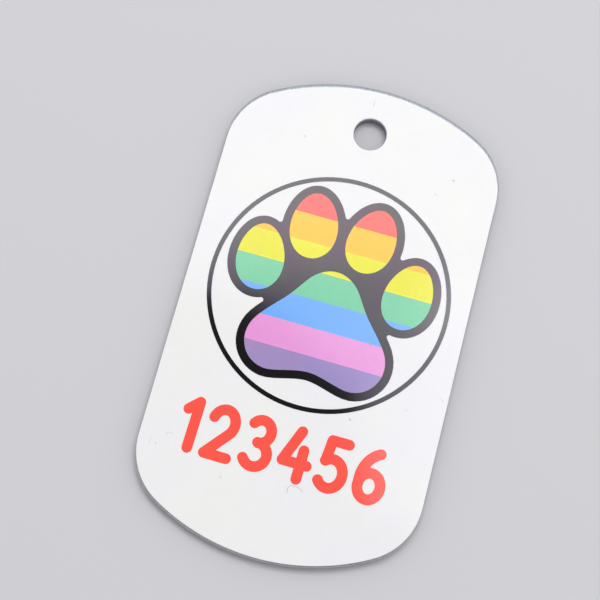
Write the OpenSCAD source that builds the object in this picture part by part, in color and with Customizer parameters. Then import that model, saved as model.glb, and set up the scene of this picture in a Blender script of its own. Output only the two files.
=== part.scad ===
// Pet id tag: a stamped aluminium blank with a hanging hole, a white coat on its
// face, and a colour print of a striped paw in a ring on the coat.
// The origin is the middle of the back face. +Z is the face's normal, +Y runs to the hole.

/* [Blank] */
// Length of the metal, from end to end
tag_l = 50; // [46:0.1:58]
// Width of the metal, from side to side
tag_w = 28.7; // [27.5:0.1:34]
// Thickness of the metal
blank_t = 1; // [0.8:0.05:1.6]
// Radius of the two long end arcs
end_r = 22.46; // [18:0.02:26]
// Radius of the four corners
corner_r = 6.78; // [4:0.02:8]
// Rounding of the edge at the face, from tumbling
front_roll = 0.05; // [0.03:0.01:0.2]
// Rounding of the edge at the back, from the stamping die
back_roll = 0.2; // [0.05:0.01:0.3]

/* [Hole] */
// Diameter of the hanging hole in the metal
hole_d = 3.4; // [2.5:0.05:4.5]
// From the top edge of the metal to the middle of the hole
hole_inset = 5.13; // [4.2:0.01:6]
// Chamfer round both mouths of the hole
hole_break = 0.06; // [0.02:0.01:0.15]

/* [Coat] */
// Thickness of the white coat
coat_t = 0.08; // [0.04:0.01:0.2]
// Bare flat metal between the coat and the rolled edge, at the hole's end
top_rim = 0.39; // [0.05:0.01:0.8]
// Bare flat metal between the coat and the rolled edge, at the other end
bottom_rim = 0.13; // [0.05:0.01:0.6]
// Bare flat metal between the coat and the rolled edge, at each side
side_rim = 0.01; // [0.01:0.01:0.4]
// Bare metal shown round the hole, past its chamfer
hole_rim = 0.02; // [0.01:0.01:0.3]
// Rounding of the coat's edge
coat_round = 0.04; // [0.01:0.01:0.06]

/* [Print] */
// Thickness of the printed ink
ink_t = 0.02; // [0.01:0.005:0.05]
// Turn of the whole print on the tag, clockwise from the front, in degrees
print_turn = 1.35; // [0:0.05:3]
// Middle of the print, to the right of the tag's middle
print_x = 0.14; // [-0.5:0.02:0.5]
// Middle of the print, below the middle of the hole
print_drop = 17.53; // [17:0.02:18.5]
// White left between the ring and the black line that comes nearest to it
ring_gap = 0.36; // [0.1:0.01:0.8]
// Width of the ring's line
ring_line = 0.46; // [0.2:0.01:0.8]

/* [Pad] */
// Width of the pad's coloured area
pad_w = 14.32; // [12:0.02:15]
// Length of the pad's coloured area
pad_l = 11.48; // [10:0.02:12.2]
// Depth of the pad's middle below the ring's middle
pad_drop = 3.45; // [3:0.01:3.8]
// Sideways shift of the pad in the print
pad_shift = 0.26; // [-0.4:0.01:0.4]
// Width of the black line round the toes and the pad
outline_w = 0.84; // [0.4:0.02:1]
// Rounding where two black lines run together
notch_r = 0.25; // [0.05:0.01:0.4]

/* [Toes] */
// Width of a toe's coloured area
toe_w = 4.86; // [4:0.02:5.4]
// Length of a toe's coloured area
toe_l = 6.96; // [6:0.02:7.6]
// How much narrower a toe is at its tip than at its root
toe_taper_share = 0.105; // [0:0.005:0.2]
// Outward lean of the toes, in degrees
toe_lean = 7.6; // [0:0.1:12]
// Space between the two middle toes, before they lean
mid_toe_gap = 1.24; // [0.8:0.02:1.8]
// Height of the middle toes' roots above the pad's top
mid_toe_rise = 0.61; // [0.4:0.01:1.2]
// Sideways shift of the middle toes in the print
mid_toe_shift = -0.31; // [-0.4:0.01:0.4]
// Middle of an outer toe, outwards from the pad's widest place
side_toe_out = 0.58; // [0.3:0.01:1]
// Middle of an outer toe, below the pad's top
side_toe_drop = 0.53; // [0:0.01:1]
// Sideways shift of the outer toes in the print
side_toe_shift = 0.04; // [-0.4:0.01:0.4]

/* [Stripes] */
// Height of one stripe
stripe_h = 2.85; // [2.4:0.01:3.2]
// Lower edge of the first stripe, below the tips of the middle toes
first_stripe = 2.4; // [1.6:0.01:3.2]

/* [Hidden] */
$fn = 96;
// Flats across a rolled edge
roll_steps = 3;
// Flats round a corner
corner_steps = 12;
// Flats along an end arc
end_steps = 24;
// Points round a toe
toe_points = 60;
// Points between two given points of the pad
pad_steps = 7;
// Stripes in the print
stripe_count = 7;

hole_y = tag_l / 2 - hole_inset;
hole_r = hole_d / 2;
coat_l = tag_l - 2 * front_roll - top_rim - bottom_rim;
coat_w = tag_w - 2 * (front_roll + side_rim);
coat_y = (bottom_rim - top_rim) / 2;
coat_end_r = end_r - front_roll - (top_rim + bottom_rim) / 2;
coat_corner_r = corner_r - front_roll - side_rim;
coat_hole_r = hole_r + hole_break + hole_rim;
coat_top = blank_t + coat_t;

// Right half of the pad from its top to the notch below, as shares of half its width
// and of half its length
pad_half_shares = [[0, 1], [0.29, 0.85], [0.56, 0.39], [0.96, -0.24], [0.95, -0.73],
    [0.63, -1], [0, -0.86]];
// Left half is the right half mirrored, back up from the notch
pad_shares = concat(pad_half_shares, [for (i = [len(pad_half_shares) - 2:-1:1])
    [-pad_half_shares[i][0], pad_half_shares[i][1]]]);

// Points of an arc about place c: from the angle `from`, through `sweep`, with both ends
function arc_points(c, r, from, sweep, steps) = [for (i = [0:steps])
    let (a = from + sweep * i / steps)
    c + r * [cos(a), sin(a)]];

// Points of a tag: straight sides, four corners and two long end arcs tangent to them,
// all drawn inwards by g. The lower half is the upper half turned half round.
function tag_outline(l, w, big_r, small_r, g) = let (
        corner_x = w / 2 - small_r,
        end_y = l / 2 - big_r,
        end_a = asin(corner_x / (big_r - small_r)),
        corner_y = end_y + (big_r - small_r) * cos(end_a),
        end_arc = arc_points([0, end_y], big_r - g, 90 - end_a, 2 * end_a, end_steps),
        upper = concat(
            arc_points([corner_x, corner_y], small_r - g, 0, 90 - end_a, corner_steps),
            [for (i = [1:end_steps - 1]) end_arc[i]],
            arc_points([-corner_x, corner_y], small_r - g, 90 + end_a, 90 - end_a, corner_steps))
    )
    concat(upper, [for (p = upper) -p]);

// Inset and height of each step up the edge of a plate, rolled at its back and front
function edge_steps(t, back, front) = concat(
    back == 0 ? [[0, 0]] : [for (i = [0:roll_steps]) let (a = 90 * i / roll_steps)
        [back * (1 - sin(a)), back * (1 - cos(a))]],
    front == 0 ? [[0, t]] : [for (i = [0:roll_steps]) let (a = 90 * i / roll_steps)
        [front * (1 - cos(a)), t - front * (1 - sin(a))]]);

// Points of a toe: an oval that is narrower at its tip, grown outwards by g
function toe_outline(g) = [for (i = [0:toe_points - 1])
    let (
        a = 360 * i / toe_points,
        x = toe_w / 2 * sin(a) * (1 - toe_taper_share * cos(a)),
        y = toe_l / 2 * cos(a),
        dx = toe_w / 2 * (cos(a) - toe_taper_share * cos(2 * a)),
        dy = -toe_l / 2 * sin(a),
        d = norm([dx, dy])
    )
    [x - g * dy / d, y + g * dx / d]];

// Place and direction at share s of the smooth curve from point b to point c,
// where a comes before them and d after them
function curve_at(a, b, c, d, s) = (2 * b + (c - a) * s + (2 * a - 5 * b + 4 * c - d) * s * s
    + (3 * b - 3 * c + d - a) * s * s * s) / 2;
function curve_run(a, b, c, d, s) = (c - a) / 2 + (2 * a - 5 * b + 4 * c - d) * s
    + (3 * b - 3 * c + d - a) * s * s * 3 / 2;

// Points of the pad, grown outwards by g
function pad_outline(g) = let (
        n = len(pad_shares),
        p = [for (q = pad_shares) [q[0] * pad_w / 2, q[1] * pad_l / 2]]
    )
    [for (i = [0:n - 1]) for (k = [0:pad_steps - 1])
        let (
            a = p[(i + n - 1) % n],
            b = p[i],
            c = p[(i + 1) % n],
            d = p[(i + 2) % n],
            at = curve_at(a, b, c, d, k / pad_steps),
            run = curve_run(a, b, c, d, k / pad_steps)
        )
        at + g * [-run[1], run[0]] / norm(run)];

// Flat plate in the tag's outline, lofted through the steps of its rolled edge
module plate(l, w, big_r, small_r, t, back, front) {
    steps = edge_steps(t, back, front);
    n = len(tag_outline(l, w, big_r, small_r, 0));
    polyhedron(
        points = [for (s = steps) for (p = tag_outline(l, w, big_r, small_r, s[0]))
            [p[0], p[1], s[1]]],
        faces = concat(
            [[for (i = [0:n - 1]) i]],
            [for (k = [0:len(steps) - 2]) for (i = [0:n - 1]) let (j = (i + 1) % n)
                [k * n + i, (k + 1) * n + i, (k + 1) * n + j, k * n + j]],
            [[for (i = [n - 1:-1:0]) (len(steps) - 1) * n + i]]));
}

// Shape that the hole cuts, with a chamfer at both mouths
module hole_cut() {
    run = hole_break;
    translate([0, hole_y]) rotate_extrude()
        polygon([[0, -run], [hole_r + 2 * run, -run], [hole_r, run], [hole_r, blank_t - run],
            [hole_r + 2 * run, blank_t + run], [0, blank_t + run]]);
}

// Puts a flat figure on the coat, about the ring's middle and turned as the print is
module printed() {
    translate([print_x, hole_y - print_drop, coat_top]) rotate(-print_turn)
        linear_extrude(ink_t) children();
}

// Middles of the toes, from the left one round to the right one, and of the pad
mid_toe_x = (toe_w + mid_toe_gap) / 2;
mid_toe_y = pad_l / 2 - pad_drop + mid_toe_rise + toe_l / 2;
side_toe_x = pad_w / 2 + side_toe_out;
side_toe_y = pad_l / 2 - pad_drop - side_toe_drop;
toe_middles = [[side_toe_shift - side_toe_x, side_toe_y], [mid_toe_shift - mid_toe_x, mid_toe_y],
    [mid_toe_shift + mid_toe_x, mid_toe_y], [side_toe_shift + side_toe_x, side_toe_y]];
pad_middle = [pad_shift, -pad_drop];

// A point turned about zero by angle a
function turned(p, a) = [p[0] * cos(a) - p[1] * sin(a), p[0] * sin(a) + p[1] * cos(a)];

// Outlines of the four toes and the pad in their places, grown outwards by g
function paw_outlines(g) = concat(
    [for (m = toe_middles) let (lean = m[0] < 0 ? toe_lean : -toe_lean)
        [for (p = toe_outline(g)) m + turned(p, lean)]],
    [[for (p = pad_outline(g)) pad_middle + p]]);

// The ring is drawn round the point of the paw that lies furthest from its middle
paw_reach = max([for (shape = paw_outlines(outline_w)) for (p = shape) norm(p)]);
ring_r = paw_reach + ring_gap + ring_line / 2;
first_edge_y = mid_toe_y + toe_l / 2 - first_stripe;

// Toes and pad together, grown outwards by g
module paw_figure(g) {
    for (shape = paw_outlines(g)) polygon(shape);
}

// The part of the paw that one stripe fills; the first and last run on to the ring
module stripe(index, paint) {
    high = index == 0 ? ring_r : first_edge_y - (index - 1) * stripe_h;
    low = index == stripe_count - 1 ? -ring_r : first_edge_y - index * stripe_h;
    color(paint) printed() intersection() {
        paw_figure(0);
        translate([-ring_r, low]) square([2 * ring_r, high - low]);
    }
}

module blank() {
    color("#c3c7cd") difference() {
        plate(tag_l, tag_w, end_r, corner_r, blank_t, back_roll, front_roll);
        hole_cut();
    }
}

module front_coat() {
    color("#e9e9ec") difference() {
        translate([0, coat_y, blank_t])
            plate(coat_l, coat_w, coat_end_r, coat_corner_r, coat_t, 0, coat_round);
        translate([0, hole_y, blank_t - coat_t]) cylinder(h = 3 * coat_t, r = coat_hole_r);
    }
}

module ring_print() {
    color("#1c1b1d") printed() difference() {
        circle(ring_r + ring_line / 2);
        circle(ring_r - ring_line / 2);
    }
}

module outline_print() {
    color("#1c1b1d") printed() difference() {
        offset(r = -notch_r) {
            paw_figure(outline_w + notch_r);
            polygon(concat(toe_middles, [pad_middle]));
        }
        paw_figure(0);
    }
}

module red_print() {
    stripe(0, "#fa5e59");
}

module orange_print() {
    stripe(1, "#fdc114");
}

module yellow_print() {
    stripe(2, "#e6e209");
}

module green_print() {
    stripe(3, "#74cba0");
}

module blue_print() {
    stripe(4, "#72aef9");
}

module pink_print() {
    stripe(5, "#ea9cda");
}

module violet_print() {
    stripe(6, "#a490cb");
}

blank();
front_coat();
ring_print();
outline_print();
red_print();
orange_print();
yellow_print();
green_print();
blue_print();
pink_print();
violet_print();
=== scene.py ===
# %% [markdown]
# # A pet id tag
# The tag is a small plate of stamped aluminium with a hole for a split ring. Its face has a
# white gloss coat with a colour print in it. The flat shapes come from the CAD model. Here the
# sheet and the coat get their real edges, and every piece gets its finish.

import bpy
import numpy as np
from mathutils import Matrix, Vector
from mathutils.geometry import delaunay_2d_cdt


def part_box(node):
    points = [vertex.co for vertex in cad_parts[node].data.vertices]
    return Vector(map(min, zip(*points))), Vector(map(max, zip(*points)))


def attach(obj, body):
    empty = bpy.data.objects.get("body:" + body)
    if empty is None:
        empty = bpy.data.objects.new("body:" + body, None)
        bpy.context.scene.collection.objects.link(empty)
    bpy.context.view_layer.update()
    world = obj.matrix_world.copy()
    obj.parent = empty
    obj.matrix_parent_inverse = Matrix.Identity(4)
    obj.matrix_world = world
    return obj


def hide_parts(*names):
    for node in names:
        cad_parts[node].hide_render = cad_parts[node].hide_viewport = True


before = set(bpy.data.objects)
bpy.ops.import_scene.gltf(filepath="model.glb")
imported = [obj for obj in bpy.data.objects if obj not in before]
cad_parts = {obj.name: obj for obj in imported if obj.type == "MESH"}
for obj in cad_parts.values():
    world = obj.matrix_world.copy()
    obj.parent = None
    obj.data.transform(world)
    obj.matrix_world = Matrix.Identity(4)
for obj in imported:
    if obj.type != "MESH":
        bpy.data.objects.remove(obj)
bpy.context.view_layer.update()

print("nodes:", ", ".join(sorted(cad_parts)))

# %% [markdown]
# ## Sizes
# All lengths are in millimetres, as on a drawing, and become metres where a mesh, a lamp or a
# camera is made. The outline's sizes are those of the CAD model. Its length, width and height
# are measured from the model, so that they can't differ from it.

# %% Sizes
MM = 0.001
low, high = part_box("blank")
TAG_W, TAG_L, BLANK_T = (high - low) / MM
END_R, CORNER_R = 22.46, 6.78
HOLE_R, HOLE_Y = 1.7, 19.87
BACK_ROLL, HOLE_BREAK = 0.2, 0.06

low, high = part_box("front_coat")
COAT_W, COAT_L = (high[0] - low[0]) / MM, (high[1] - low[1]) / MM
COAT_Y, COAT_TOP = (high[1] + low[1]) / 2 / MM, high[2] / MM
COAT_END_R, COAT_CORNER_R, COAT_HOLE_R = 22.15, 6.72, 1.78
INK_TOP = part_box("ring_print")[1][2] / MM

# The print's middle and its turn, which the number under it shares
PRINT_X, PRINT_Y, PRINT_TURN = 0.14, 2.34, np.radians(-1.35)
print(f"tag {TAG_L:.2f} x {TAG_W:.2f} x {BLANK_T:.2f} mm, coat {COAT_L:.2f} x {COAT_W:.2f} mm")

# %% [markdown]
# ## The camera
# The photograph was taken from above the tag's lower end, tilted 14 degrees from straight down
# and turned 15 degrees. Its place was worked out from the outline, the hole and the ring of the
# print, as the spot from which all three fall where the photograph has them.

# %% Camera
CAMERA_SPOT = (4.722, -29.586, 126.936)
CAMERA_TURN = (13.9623, -0.3835, 14.8575)
LENS, SENSOR = 77.472, 36.0

camera_data = bpy.data.cameras.new("camera")
camera_data.lens, camera_data.sensor_width = LENS, SENSOR
camera_data.clip_start, camera_data.clip_end = 0.005, 20
camera = bpy.data.objects.new("camera", camera_data)
camera.location = Vector(CAMERA_SPOT) * MM
camera.rotation_euler = np.radians(CAMERA_TURN)
bpy.context.scene.collection.objects.link(camera)
bpy.context.scene.camera = camera
bpy.context.scene.view_settings.view_transform = "Standard"
print("camera at", CAMERA_SPOT, "mm")

# %% [markdown]
# ## The outline
# A tag of this kind has straight sides, four small corners and two long, flat end arcs that run
# into the corners without a kink. Each point of the outline lies on an arc, so it is kept as
# the arc's centre, its radius and a direction. A point of a smaller outline, as for a rounded
# edge, has the same centre and direction and a shorter radius.

# %% Outline
# How many points lie on half a side, on a corner and on an end arc
SIDE_N, CORNER_N, END_N = 40, 32, 80


def tag_arcs(length, width, end_r, corner_r, y=0.0):
    """Centres, radii and directions of the points round a tag, from the middle of its right side.

    A corner's middle lies corner_r in from the side. The end arc's middle is on the axis, and
    the two arcs touch where the line through both middles meets them.
    """
    corner_x = width / 2 - corner_r
    end_y = length / 2 - end_r
    lean = np.arcsin(corner_x / (end_r - corner_r))
    corner_y = end_y + (end_r - corner_r) * np.cos(lean)
    side, corner, end = [np.arange(n) / n for n in (SIDE_N, CORNER_N, END_N)]
    quarter = np.pi / 2
    centres = np.concatenate([
        np.stack([np.full(SIDE_N, corner_x), corner_y * side], 1),
        np.tile([corner_x, corner_y], (CORNER_N, 1)),
        np.tile([0, end_y], (END_N, 1)),
        np.tile([-corner_x, corner_y], (CORNER_N, 1)),
        np.stack([np.full(SIDE_N, -corner_x), corner_y * (1 - side)], 1)])
    radii = np.repeat([corner_r, corner_r, end_r, corner_r, corner_r],
                      [SIDE_N, CORNER_N, END_N, CORNER_N, SIDE_N])
    turn = np.concatenate([
        0 * side, corner * (quarter - lean), quarter - lean + 2 * lean * end,
        quarter + lean + corner * (quarter - lean), np.pi + 0 * side])
    centres, radii = np.concatenate([centres, -centres]), np.tile(radii, 2)
    turn = np.concatenate([turn, turn + np.pi])
    return centres + [0, y], radii, np.stack([np.cos(turn), np.sin(turn)], 1)


def outline(arcs, inset):
    """The outline drawn inwards by an inset: each centre plus the shortened radius its way."""
    centres, radii, ways = arcs
    return centres + (radii - inset)[:, None] * ways


def mouth(arcs, radius):
    """A circle round the hole, with one point on the way to each point of the outline."""
    way = outline(arcs, 0) - [0, HOLE_Y]
    return [0, HOLE_Y] + radius * way / np.linalg.norm(way, axis=1)[:, None]


blank_arcs = tag_arcs(TAG_L, TAG_W, END_R, CORNER_R)
coat_arcs = tag_arcs(COAT_L, COAT_W, COAT_END_R, COAT_CORNER_R, COAT_Y)
print("points round the tag:", len(blank_arcs[1]))

# %% [markdown]
# ## A plate from rings
# Sheet and coat are both plates with a hole, and their whole skin is one strip: over the top
# from the hole to the edge, down the edge, back under the plate to the hole and up its bore.
# So each plate is a grid that closes on itself both ways, like a ring doughnut pressed flat.
# One way runs round the tag, and the other follows the profile.

# %% Plate
def quarter_turn(steps):
    """The cosine and sine of evenly spaced angles from 0 to 90 degrees."""
    angle = np.linspace(0, np.pi / 2, steps + 1)
    return np.cos(angle), np.sin(angle)


def plate_rings(arcs, hole_r, base, top, front, back, lip, steps=8, bulge=1.0):
    """The rings of points that make a plate, each at one place of its profile.

    front and back are the width and height of the rounding at the outer edge, and lip those at
    both mouths of the hole. A face runs in a straight line from the mouth to the outline. The
    front rounding is a quarter of an ellipse, or flatter where bulge is above 1: the cosine and
    sine of its angle are taken to that power.
    """
    cos, sin = quarter_turn(steps)
    near = 0.02  # a ring this close to each edge keeps the face's shading flat up to it
    rings = []

    def at_edge(inset, height):
        rings.append((outline(arcs, inset), height))

    def at_hole(radius, height):
        rings.append((mouth(arcs, radius), height))

    def face(height, edge_inset, hole_edge, outwards):
        shares = [0.04, 0.1, 0.2, 0.35, 0.5, 0.65, 0.8, 0.9, 0.96]
        inner, outer = mouth(arcs, hole_edge + near), outline(arcs, edge_inset + near)
        run = [(inner, height)] + [(inner + (outer - inner) * s, height) for s in shares]
        run += [(outer, height)]
        rings.extend(run if outwards else run[::-1])

    face(top, front[0], hole_r + lip[0], True)
    for c, s in zip(cos ** bulge, sin ** bulge):
        at_edge(front[0] * (1 - s), top - front[1] * (1 - c))
    wall_top, wall_base = top - front[1], base + back[1]
    for share in (0.25, 0.5, 0.75):
        at_edge(0, wall_top + (wall_base - wall_top) * share)
    for c, s in zip(cos, sin):
        at_edge(back[0] * (1 - c), wall_base - back[1] * s)
    face(base, back[0], hole_r + lip[0], False)
    for c, s in zip(cos, sin):
        at_hole(hole_r + lip[0] * (1 - s), base + lip[1] * (1 - c))
    for share in (0.25, 0.5, 0.75):
        at_hole(hole_r, base + lip[1] + (top - base - 2 * lip[1]) * share)
    for c, s in zip(cos, sin):
        at_hole(hole_r + lip[0] * (1 - c), top - lip[1] * (1 - s))
    return np.array([np.column_stack([flat, np.broadcast_to(z, len(flat))]) for flat, z in rings])


def new_piece(name, points, faces, smooth=True):
    """A mesh object at the origin, with its points turned from millimetres into metres."""
    mesh = bpy.data.meshes.new(name)
    mesh.from_pydata((points * MM).tolist(), [], faces)
    mesh.polygons.foreach_set("use_smooth", np.full(len(mesh.polygons), smooth))
    mesh.update()
    piece = bpy.data.objects.new(name, mesh)
    bpy.context.scene.collection.objects.link(piece)
    return piece


def plate(name, rings):
    """The closed skin through all the rings: each point is joined to the next two ways round."""
    index = np.arange(rings.shape[0] * rings.shape[1]).reshape(rings.shape[:2])
    on, down = np.roll(index, -1, 1), np.roll(index, -1, 0)
    faces = np.stack([index, down, np.roll(down, -1, 1), on], -1).reshape(-1, 4)
    return new_piece(name, rings.reshape(-1, 3), faces.tolist())


def volume(piece):
    """The volume inside a closed mesh in cubic millimetres, above zero if it faces outwards."""
    piece.data.calc_loop_triangles()
    place = np.zeros(len(piece.data.vertices) * 3)
    piece.data.vertices.foreach_get("co", place)
    corner = np.zeros(len(piece.data.loop_triangles) * 3, int)
    piece.data.loop_triangles.foreach_get("vertices", corner)
    a, b, c = place.reshape(-1, 3)[corner.reshape(-1, 3)].transpose(1, 0, 2) / MM
    return float((a * np.cross(b, c)).sum() / 6)


# %% [markdown]
# ## The sheet
# A punched edge rolls over, and tumbling rounds it further. The coat stops where the metal
# starts to fall away, so the bare border that the face shows is this roll: wide at the hole's
# end, narrow at the other and almost nothing at the sides. Its width at each point is the gap
# from the sheet's outline to the coat's. The hole has both mouths broken.

# %% Sheet
# The roll ends just short of the coat, and is a good third as high as it is wide
ROLL_SHARE, ROLL_RISE, ROLL_LEAST = 0.95, 0.36, 0.02
ROLL_BULGE = 1.45
gap = outline(blank_arcs, 0)[:, None] - outline(coat_arcs, 0)[None]
gap = np.linalg.norm(gap, axis=2).min(1)
roll_w = ROLL_SHARE * gap
roll_h = ROLL_LEAST + ROLL_RISE * roll_w
sheet = plate("aluminium_sheet", plate_rings(
    blank_arcs, HOLE_R, 0, BLANK_T, (roll_w, roll_h), (BACK_ROLL, BACK_ROLL),
    (HOLE_BREAK, HOLE_BREAK), bulge=ROLL_BULGE))
print(f"bare border from {gap.min():.2f} to {gap.max():.2f} mm")
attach(sheet, "root")
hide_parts("blank")
print(f"sheet: {volume(sheet):.1f} mm3, {len(sheet.data.polygons)} faces")

# %% [markdown]
# ## The coat
# The coat was baked on as a film and drew back from the rolled edge, so its border is a soft
# lip and not a cut. A lip that is a little wider than it is high gives that.

# %% Coat
LIP, FOOT, MOUTH_LIP = (0.09, 0.055), (0.004, 0.004), (0.05, 0.02)
coat = plate("white_coat", plate_rings(
    coat_arcs, COAT_HOLE_R, BLANK_T, COAT_TOP, LIP, FOOT, MOUTH_LIP))
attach(coat, "root")
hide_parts("front_coat")
print(f"coat: {volume(coat):.1f} mm3, {len(coat.data.polygons)} faces")

# %% [markdown]
# ## The number
# Under the paw a tag carries a line of large, round-ended lettering. A plain row of numbers
# stands there. Each figure is drawn as with a round pen: strokes along a path, joined where they
# cross. Blender's flat triangulation finds the outline that the strokes share.

# %% Number
# The pen's width, a figure's height, and where its foot stands
PEN, FIGURE_H, FIGURE_BASE = 1.05, 5.7, -17.05
# The unit of a figure's width, and the height that the pen's middle runs through
PATH = np.array([3.98, FIGURE_H - PEN])
# The space between two figures, in units of width
SPACE = 0.375


def arc(x, y, rx, ry, start, stop, steps=18):
    """Points of part of an ellipse about (x, y), between two angles in degrees."""
    angle = np.radians(np.linspace(start, stop, steps + 1))
    return np.stack([x + rx * np.cos(angle), y + ry * np.sin(angle)], 1)


# Paths of the pen's middle in a box one high, and the width that each figure takes
FIGURES = {
    "1": (0.3, [np.array([[0.02, 0.8], [0.26, 1.0], [0.26, 0.0]])]),
    "2": (0.6, [np.vstack([arc(0.29, 0.71, 0.28, 0.29, 165, -38), [[0.01, 0.0]]]),
                np.array([[0.01, 0.0], [0.58, 0.0]])]),
    "3": (0.56, [arc(0.25, 0.755, 0.26, 0.245, 145, -88), arc(0.25, 0.26, 0.3, 0.26, 92, -150)]),
    "4": (0.6, [np.array([[0.3, 1.0], [0.0, 0.32], [0.62, 0.32]]),
                np.array([[0.46, 0.62], [0.46, 0.0]])]),
    "5": (0.56, [np.array([[0.52, 1.0], [0.1, 1.0], [0.06, 0.58]]),
                 arc(0.24, 0.31, 0.31, 0.31, 128, -142)]),
    "6": (0.58, [arc(0.62, 0.42, 0.6, 0.62, 112, 190), arc(0.3, 0.28, 0.28, 0.28, 0, 360, 36)]),
}


def stroke(path, width):
    """The outline of a round pen carried along a path, as one closed loop for each stretch.

    Every stretch between two points is a bar with a half circle at each end.
    """
    start, stop = path[:-1], path[1:]
    heading = np.arctan2(*(stop - start).T[::-1])
    half = np.linspace(-np.pi / 2, np.pi / 2, 13)
    front = heading[:, None] + half
    rear = front + np.pi
    ends = [p[:, None] + width / 2 * np.stack([np.cos(a), np.sin(a)], -1)
            for p, a in ((stop, front), (start, rear))]
    return np.concatenate(ends, 1)


def flat_union(loops):
    """Triangles that fill closed loops where at least one of them covers the plane."""
    sizes = [len(loop) for loop in loops]
    starts = np.concatenate([[0], np.cumsum(sizes)[:-1]])
    faces = [list(range(s, s + n)) for s, n in zip(starts, sizes)]
    found = delaunay_2d_cdt([Vector(p) for p in np.vstack(loops)], [], faces, 1, 1e-5)
    inside = [f for f, origin in zip(found[2], found[5]) if origin]
    return np.array(found[0]), np.array(inside)


def raised(name, flat, triangles, base, top):
    """A flat figure with a thickness: its face, the same face under it, and a wall between."""
    count = len(flat)
    edges = np.concatenate([triangles[:, [0, 1]], triangles[:, [1, 2]], triangles[:, [2, 0]]])
    key = np.sort(edges, 1) @ [count, 1]
    _, which, times = np.unique(key, return_inverse=True, return_counts=True)
    border = edges[times[which] == 1]
    points = np.vstack([np.column_stack([flat, np.full(count, z)]) for z in (base, top)])
    wall = np.column_stack([border, border[:, ::-1] + count])
    faces = (triangles + count).tolist() + triangles[:, ::-1].tolist() + wall.tolist()
    return new_piece(name, points, faces, smooth=False)


number_loops, pen_x = [], 0.0
for figure in "123456":
    wide, paths = FIGURES[figure]
    for path in paths:
        number_loops += list(stroke((path + [pen_x, 0]) * PATH, PEN))
    pen_x += wide + SPACE
number_w = (pen_x - SPACE) * PATH[0]
spun = np.array([[np.cos(PRINT_TURN), np.sin(PRINT_TURN)],
                 [-np.sin(PRINT_TURN), np.cos(PRINT_TURN)]])
middle = [PRINT_X, PRINT_Y]
drop = FIGURE_BASE + PEN / 2 - PRINT_Y
number_loops = [(loop + [-number_w / 2, drop]) @ spun + middle for loop in number_loops]
number = raised("number_print", *flat_union(number_loops), COAT_TOP, INK_TOP)
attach(number, "root")
print(f"number: {number_w + PEN:.1f} mm wide, volume {volume(number):.2f} mm3")

# %% [markdown]
# ## How a finish is written
# Each material is a net of nodes round one Principled shader. One function adds a node with its
# settings, and takes a number or another node's output for each input. Colours are written as
# on a paint card, and one function turns them into the linear values that light adds up in.

# %% Helpers for materials
def add(tree, kind, inputs=None, **settings):
    """Adds a shader node: settings are its own properties, inputs fill its sockets or link them."""
    made = tree.nodes.new("ShaderNode" + kind)
    for name, value in settings.items():
        setattr(made, name, value)
    for name, value in (inputs or {}).items():
        if isinstance(value, bpy.types.NodeSocket):
            tree.links.new(value, made.inputs[name])
        else:
            made.inputs[name].default_value = value
    return made


def linear(paint):
    """An sRGB colour such as "#c4c3c6" as linear red, green, blue and an alpha of 1."""
    s = np.array([int(paint[i:i + 2], 16) for i in (1, 3, 5)]) / 255
    return (*np.where(s <= 0.04045, s / 12.92, ((s + 0.055) / 1.055) ** 2.4), 1.0)


def finish(name, **inputs):
    """A new material with a Principled shader, and its tree."""
    material = bpy.data.materials.new(name)
    material.use_nodes = True
    tree = material.node_tree
    tree.nodes.clear()
    shader = add(tree, "BsdfPrincipled", {k.replace("_", " "): v for k, v in inputs.items()})
    add(tree, "OutputMaterial", {"Surface": shader.outputs[0]})
    return material, tree, shader


def per_metre(millimetres):
    """The scale of a noise whose lumps are that far apart."""
    return 1 / (millimetres * MM)


# %% [markdown]
# ## The gloss coat and the inks
# The white is a polyester coat made for heat transfer: thick, hard and glossy. The inks are
# dyes that a heat press drives into it, so they share its smooth face and have no edge to feel.
# A coat like this has a faint orange peel, waves up to 1.7 mm long, that bends reflections a
# little. The dye itself is slightly uneven, in wide clouds and in specks of 0.3 mm.

# %% Gloss coat with dye
GLOSS = 0.065
# How far apart the lumps of each unevenness in colour and surface are
DRIFT, CLOUDS, SPECKS = 9, 2.6, 0.3
PEEL_LONG, PEEL_FINE = 1.7, 0.5
# How high the peel's waves are, in metres
LONG_RISE, FINE_RISE = 1.2e-6, 1e-7


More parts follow.
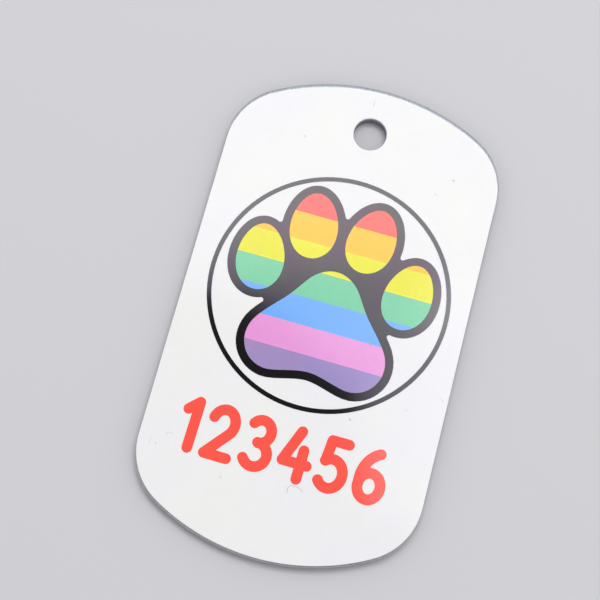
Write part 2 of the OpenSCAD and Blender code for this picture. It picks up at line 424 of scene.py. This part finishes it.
def dyed_coat(name, paint, drift, uneven=0.03, **gloss):
    """Gloss polyester in one colour, which drifts over the tag to a second one and is uneven.

    The dye is darker and lighter by the share uneven. gloss sets more of the shader's sockets.
    """
    material, tree, shader = finish(name, Roughness=GLOSS, IOR=1.5, **gloss)
    place = add(tree, "TexCoord").outputs["Object"]
    far = add(tree, "TexNoise", {"Vector": place, "Scale": per_metre(DRIFT), "Detail": 2.0})
    part = add(tree, "MapRange", {"Value": far.outputs[0], "From Min": 0.38, "From Max": 0.62})
    dye = add(tree, "MixRGB", {"Fac": part.outputs[0], "Color1": linear(paint),
                               "Color2": linear(drift)})
    clouds = add(tree, "TexNoise", {"Vector": place, "Scale": per_metre(CLOUDS), "Detail": 2.0})
    grain = add(tree, "TexNoise", {"Vector": place, "Scale": per_metre(SPECKS), "Detail": 1.0})
    mixed = add(tree, "Mix", {"Factor": 0.5, "A": clouds.outputs[0], "B": grain.outputs[0]})
    level = add(tree, "MapRange", {"Value": mixed.outputs[0], "From Min": 0.3, "From Max": 0.7,
                                   "To Min": 1 - uneven, "To Max": 1 + uneven})
    tint = add(tree, "VectorMath", {0: dye.outputs[0], "Scale": level.outputs[0]},
               operation="SCALE")
    tree.links.new(tint.outputs[0], shader.inputs["Base Color"])
    long_peel, fine_peel = [
        add(tree, "TexNoise", {"Vector": place, "Scale": per_metre(length), "Detail": 0.0})
        for length in (PEEL_LONG, PEEL_FINE)]
    waves = add(tree, "Bump", {"Height": long_peel.outputs[0], "Distance": LONG_RISE})
    peel = add(tree, "Bump", {"Height": fine_peel.outputs[0], "Distance": FINE_RISE,
                              "Normal": waves.outputs[0]})
    tree.links.new(peel.outputs[0], shader.inputs["Normal"])
    return material


def dress(piece, material):
    """Gives a piece one material in its first slot."""
    piece.data.materials.clear()
    piece.data.materials.append(material)


# Each ink's colour and the one that it drifts to
INKS = {
    "red_print": ("red dye in polyester", "#fa5e59", "#fa6058"),
    "orange_print": ("orange dye in polyester", "#fdc114", "#fdc016"),
    "yellow_print": ("yellow dye in polyester", "#e7e300", "#e6e000"),
    "green_print": ("green dye in polyester", "#74cba0", "#76cb9f"),
    "blue_print": ("blue dye in polyester", "#70adf9", "#74aff7"),
    "pink_print": ("pink dye in polyester", "#ea9cda", "#e99ddb"),
    "violet_print": ("violet dye in polyester", "#aa91c1", "#a08fc6"),
}
for node_name, (name, paint, drift) in INKS.items():
    dress(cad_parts[node_name], dyed_coat(name, paint, drift))
dress(number, dyed_coat("bright red dye in polyester", "#fe5c4e", "#fe5b50"))
print("inks:", len(INKS) + 2)

# %% [markdown]
# ## The black
# Where much dye lies at the surface, its film mirrors more than the bare coat, and a little
# pink: printers call that bronzing. The film isn't equally thick, so the tint drifts between
# pink and grey every few millimetres. The ring is one thin line with less dye in it, and its
# gloss stays nearly neutral.

# %% Black lines
# How much the black mirrors, where 0.5 is plain polyester, and how far apart its tints are
BLACK_GLOSS, TINT_DRIFT = 0.72, 3.5


def bronzed(name, tint, other):
    """A black dye with a strong gloss, whose tint drifts between two colours of light."""
    material = dyed_coat(name, "#181618", "#161518", 0.15, Specular_IOR_Level=BLACK_GLOSS)
    tree = material.node_tree
    place = add(tree, "TexCoord").outputs["Object"]
    film = add(tree, "TexNoise", {"Vector": place, "Scale": per_metre(TINT_DRIFT), "Detail": 2.0})
    part = add(tree, "MapRange", {"Value": film.outputs[0], "From Min": 0.4, "From Max": 0.6})
    mirrored = add(tree, "MixRGB", {"Fac": part.outputs[0], "Color1": tint, "Color2": other})
    tree.links.new(mirrored.outputs[0], tree.nodes["Principled BSDF"].inputs["Specular Tint"])
    return material


dress(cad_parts["outline_print"], bronzed(
    "black dye in polyester", (1.0, 0.81, 0.98, 1), (0.96, 0.91, 0.94, 1)))
dress(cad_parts["ring_print"], bronzed(
    "thin line of black dye", (0.955, 0.92, 1.0, 1), (0.93, 0.92, 0.98, 1)))
print("black dyes: 2")

# %% [markdown]
# ## The white, and what lies on it
# The white drifts a little between a warm and a cool tone, as heat-pressed polyester does, and
# its gloss is weaker than that of the dyed areas. A used tag is never quite clean: a few lint
# hairs, one of them curled, and specks of dust lie on it. They are far thinner than anything
# worth a mesh, so they are drawn in the colour under them. A hair is a row of long thin
# ellipses, and a noise bends it.

# %% White coat and lint
WHITE_GLOSS = 0.22
# How far the noise moves a hair, and how far apart its bends are
BEND, BEND_LONG = 0.15, 0.6
DUST = "#6c6f76"
# The places that each hair or speck runs through, its width, and how dark it is
LINT = [
    ([(-0.46, 23.66), (-0.38, 23.3), (-0.42, 22.92)], 0.1, 0.3),
    ([(1.23, -18.04), (1.16, -17.56), (1.46, -17.21), (1.9, -17.28), (2.33, -17.32),
      (2.72, -17.64)], 0.1, 0.34),
    ([(5.26, -9.48), (5.42, -9.62)], 0.15, 0.4),
    ([(-5.5, -18.12), (-5.34, -18.24)], 0.14, 0.3),
    ([(-11.68, -15.62), (-11.52, -15.34), (-11.27, -15.32), (-11.0, -15.36)], 0.1, 0.26),
    ([(-13.05, -16.79), (-12.99, -16.4), (-12.86, -16.22)], 0.1, 0.16),
    ([(-12.48, -16.62), (-12.38, -16.68)], 0.15, 0.26),
    ([(9.5, 17.2), (9.58, 17.15)], 0.22, 0.4),
    ([(8.02, 15.3), (8.16, 15.2)], 0.26, 0.14),
    ([(-6.52, 18.0), (-6.38, 17.88)], 0.22, 0.2),
    ([(13.45, -5.1), (13.62, -5.35), (13.95, -5.5)], 0.1, 0.18),
    ([(10.3, -7.2), (10.74, -7.34)], 0.1, 0.18),
]
# The same for a hair that lies over the border of two inks
HAIR = [([(5.42, -1.95), (5.5, -1.72), (5.62, -1.58), (5.76, -1.45)], 0.1, 0.3)]


def lay_lint(material, lint):
    """Draws hairs and specks in a material's colour, each at its place on the tag."""
    tree = material.node_tree
    place = add(tree, "TexCoord").outputs["Object"]
    bend = add(tree, "TexNoise", {"Vector": place, "Scale": per_metre(BEND_LONG), "Detail": 1.0})
    away = add(tree, "VectorMath", {0: bend.outputs["Color"], 1: (0.5, 0.5, 0.5)},
               operation="SUBTRACT")
    bent = add(tree, "VectorMath", {0: away.outputs[0], 1: (BEND * MM, BEND * MM, 0), 2: place},
               operation="MULTIPLY_ADD")
    flat = add(tree, "VectorMath", {0: bent.outputs[0], 1: (1, 1, 0)}, operation="MULTIPLY")
    dark = 0.0
    for path, width, depth in lint:
        for start, stop in zip(np.array(path[:-1]), np.array(path[1:])):
            middle, run = (start + stop) / 2, stop - start
            long, wide = np.linalg.norm(run) / 2 + width / 2, width / 2
            own = add(tree, "Mapping", {
                "Vector": flat.outputs[0], "Location": (*middle * MM, 0),
                "Rotation": (0, 0, np.arctan2(run[1], run[0])),
                "Scale": (long * MM, wide * MM, 1)}, vector_type="TEXTURE")
            far = add(tree, "VectorMath", {0: own.outputs[0]}, operation="LENGTH")
            spot = add(tree, "MapRange", {"Value": far.outputs["Value"], "From Min": 0.6,
                                          "From Max": 1.2, "To Min": depth, "To Max": 0.0})
            dark = add(tree, "Math", {0: spot.outputs[0], 1: dark},
                       operation="MAXIMUM").outputs[0]
    base = tree.nodes["Principled BSDF"].inputs["Base Color"]
    over = add(tree, "MixRGB", {"Fac": dark, "Color1": base.links[0].from_socket,
                                "Color2": linear(DUST)})
    tree.links.new(over.outputs[0], base)


white = dyed_coat("white gloss polyester coat", "#efefee", "#eeedf1", 0.012,
                  Specular_IOR_Level=WHITE_GLOSS)
lay_lint(white, LINT)
dress(coat, white)
for node_name in ("blue_print", "pink_print"):
    lay_lint(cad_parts[node_name].data.materials[0], HAIR)
print("hairs and specks:", len(LINT + HAIR))

# %% [markdown]
# ## The aluminium
# The sheet is rolled aluminium, tumbled after stamping. That leaves a grey, silky metal: rough
# enough to blur what it mirrors, with fine lines along the way it was rolled. On its edge the
# lines stand upright, because there the stamping die has sheared it. The normal tells the two
# apart: it lies flat on the edge. It also sets where the edge wall's colour is darkened, which is
# painted shade.

# %% Aluminium
# How rough the metal is, how far apart its lines are, and how deep they are in metres
ROUGH, LINE_GAP, LINE_DEPTH = 0.36, 0.16, 3e-6
# The edge wall's colour is darkened to this share of the face's: painted shade on the wall, which
# lies in shadow by the floor
EDGE_PAINTED_SHADE = 0.72
material, tree, shader = finish("tumbled rolled aluminium", Metallic=1.0, Roughness=ROUGH)
spots = add(tree, "TexCoord")
lines = []
for along in ((1, 0.04, 1), (1, 1, 0.05)):
    stretched = add(tree, "Mapping", {"Vector": spots.outputs["Object"], "Scale": along})
    lines.append(add(tree, "TexNoise", {"Vector": stretched.outputs[0], "Detail": 3.0,
                                        "Scale": per_metre(LINE_GAP)}).outputs[0])
way = add(tree, "SeparateXYZ", {"Vector": spots.outputs["Normal"]})
faces_up = add(tree, "Math", {0: way.outputs["Z"]}, operation="ABSOLUTE")
on_face = add(tree, "MapRange", {"Value": faces_up.outputs[0], "From Min": 0.3, "From Max": 0.9})
grain = add(tree, "Mix", {"Factor": on_face.outputs[0], "A": lines[1], "B": lines[0]})
tone = add(tree, "ValToRGB", {"Fac": grain.outputs[0]})
tone.color_ramp.elements[0].position, tone.color_ramp.elements[1].position = 0.3, 0.7
tone.color_ramp.elements[0].color = linear("#a0a5ad")
tone.color_ramp.elements[1].color = linear("#bec3ca")
# Painted shade: where the normal lies flat, on the edge wall, the metal's colour is made darker
shade = add(tree, "MapRange", {"Value": on_face.outputs[0], "To Min": EDGE_PAINTED_SHADE, "To Max": 1.0})
metal = add(tree, "VectorMath", {0: tone.outputs[0], "Scale": shade.outputs[0]}, operation="SCALE")
tree.links.new(metal.outputs[0], shader.inputs["Base Color"])
rolled = add(tree, "Bump", {"Height": grain.outputs[0], "Distance": LINE_DEPTH, "Strength": 0.5})
tree.links.new(rolled.outputs[0], shader.inputs["Normal"])
dress(sheet, material)
print("aluminium: roughness", ROUGH)

# %% [markdown]
# ## The floor and the light
# The floor is plain and pale. The room is a soft studio: pale low down and dark overhead, so
# that the gloss coat, which mirrors what is overhead, keeps its black print black. One large
# soft lamp hangs behind the tag's top end. Its reflection is the pale glare that lies over the
# print's upper right part, with a soft border that runs down across the paw.

# %% Floor
# The tag lies on the floor, which is left open under it so that the back can be seen from below.
# The floor reaches that far, and only that little under the tag's rounded edges.
FLOOR_R, UNDER = 1500, 0.02
rim = outline(blank_arcs, BACK_ROLL + UNDER)
around = rim / np.linalg.norm(rim, axis=1)[:, None] * FLOOR_R
under_hole = mouth(blank_arcs, HOLE_R + HOLE_BREAK + UNDER)
count = len(rim)
index = np.arange(count)
on = np.roll(index, -1)
strip = np.stack([index, index + count, on + count, on], 1)
fan = np.stack([index + 2 * count, on + 2 * count, np.full(count, 3 * count)], 1)
flat = np.vstack([rim, around, under_hole, [[0, HOLE_Y]]])
floor = new_piece("floor", np.column_stack([flat, np.zeros(len(flat))]),
                  strip.tolist() + fan.tolist(), smooth=False)
material, tree, shader = finish("pale paper floor", Base_Color=linear("#cfced2"), Roughness=0.9,
                                Specular_IOR_Level=0.2)
dress(floor, material)
print(f"floor: {len(floor.data.polygons)} faces, {2 * FLOOR_R / 1000:.0f} m across")

# %% Room
# How bright the room is low down and overhead, and from which heights on
LOW, OVERHEAD = 0.87, 0.06
LOW_AT, OVERHEAD_AT = 0.6, 0.93
world = bpy.data.worlds.new("studio")
world.use_nodes = True
bpy.context.scene.world = world
tree = world.node_tree
tree.nodes.clear()
up = add(tree, "SeparateXYZ", {"Vector": add(tree, "TexCoord").outputs["Generated"]})
sky = add(tree, "ValToRGB", {"Fac": up.outputs["Z"]})
for end, at, level in zip(sky.color_ramp.elements, (LOW_AT, OVERHEAD_AT), (LOW, OVERHEAD)):
    end.position, end.color = at, (level, level, level, 1)
room = add(tree, "Background", {"Color": sky.outputs[0], "Strength": 1.0})
add(tree, "OutputWorld", {"Surface": room.outputs[0]})
print("room: brightness", LOW, "low down and", OVERHEAD, "overhead")

# %% Lamp
LAMP_Z, LAMP_MIDDLE, LAMP_SIZE = 756.0, (40.0, 330.0), (760.0, 560.0)
BRIGHT = 4.0
lamp_data = bpy.data.lights.new("soft lamp", "AREA")
lamp_data.shape = "RECTANGLE"
lamp_data.size, lamp_data.size_y = LAMP_SIZE[0] * MM, LAMP_SIZE[1] * MM
lamp_data.energy = np.pi * lamp_data.size * lamp_data.size_y
lamp = bpy.data.objects.new("soft lamp", lamp_data)
lamp.location = Vector((*LAMP_MIDDLE, LAMP_Z)) * MM
bpy.context.scene.collection.objects.link(lamp)

# Where the glare's border lies on the tag, and the spots of the lamp that the camera sees there
reach = (LAMP_Z - INK_TOP) / (CAMERA_SPOT[2] - INK_TOP)


def seen_from(spot):
    """The place on the lamp's plane that the camera sees mirrored at a spot of the coat."""
    spot = np.array(spot, float)
    return spot + (spot - np.array(CAMERA_SPOT[:2])) * reach


# Each border is a line through two spots of the coat, with the lit side on its left, and with
# how quickly the lamp grows brighter past it. A spot is lit past the first border, past the
# second, or past both the others.
BORDERS = [((-6.0, 0.0), (-12.0, -1.0), 2.8), ((4.8, -5.8), (-6.0, -0.7), 1.0),
           ((7.6, -14.5), (6.0, -9.0), 1.5), ((11.0, -20.3), (7.0, -15.5), 3.2)]
# How far past a border, times its rise, the lamp starts to glow and glows in full. The steps
# between are a share of that way, how bright the lamp is there and how much bluer.
GLOW_FROM, GLOW_TO = -7.0, 168.0
GLOW = [(0.06, 0.27, 0.07), (0.1, 0.4, 0.07), (0.16, 0.5, 0.07), (0.24, 0.58, 0.06),
        (0.36, 0.69, 0.04), (0.52, 0.82, 0.01), (0.75, 0.92, 0.0)]
lamp_data.use_nodes = True
tree = lamp_data.node_tree
tree.nodes.clear()
place = add(tree, "NewGeometry").outputs["Position"]
sides = []
for start, stop, rise in BORDERS:
    start, stop = seen_from(start), seen_from(stop)
    run = (stop - start) / np.linalg.norm(stop - start)
    inward = rise * np.array([run[1], -run[0]])
    side = add(tree, "VectorMath", {0: place, 1: (*inward / MM, 0)}, operation="DOT_PRODUCT")
    side = add(tree, "Math", {0: side.outputs["Value"], 1: float(inward @ start)},
               operation="SUBTRACT")
    sides.append(side.outputs[0])
deep = add(tree, "Math", {0: sides[2], 1: sides[3]}, operation="MINIMUM")
for side in sides[:2]:
    deep = add(tree, "Math", {0: deep.outputs[0], 1: side}, operation="MAXIMUM")
share = add(tree, "MapRange", {"Value": deep.outputs[0], "From Min": GLOW_FROM,
                               "From Max": GLOW_TO})
glow = add(tree, "ValToRGB", {"Fac": share.outputs[0]})
glow.color_ramp.elements[0].position, glow.color_ramp.elements[0].color = 0.0, (0, 0, 0, 1)
glow.color_ramp.elements[1].position, glow.color_ramp.elements[1].color = 1.0, (1, 1, 1, 1)
for at, level, cold in GLOW:
    glow.color_ramp.elements.new(at).color = (level * (1 - cold), level, level * (1 + cold), 1)
# The lamp is brightest where its bulb stands, which the tag's right side mirrors
BULB_SPOT, BULB_REACH, BULB_MORE = (13.0, 4.0), 7.0, 2.0
bulb = (*seen_from(BULB_SPOT) * MM, LAMP_Z * MM)
away = add(tree, "VectorMath", {0: place, 1: bulb}, operation="DISTANCE")
near = add(tree, "MapRange", {"Value": away.outputs["Value"], "From Min": 0.0,
                              "From Max": BULB_REACH * (1 + float(reach)) * MM,
                              "To Min": BRIGHT + BULB_MORE, "To Max": BRIGHT},
           interpolation_type="SMOOTHSTEP")
light = add(tree, "Emission", {"Color": glow.outputs[0], "Strength": near.outputs[0]})
add(tree, "OutputLight", {"Surface": light.outputs[0]})
print("lamp's middle", LAMP_MIDDLE, "mm, reach", round(float(reach), 2))
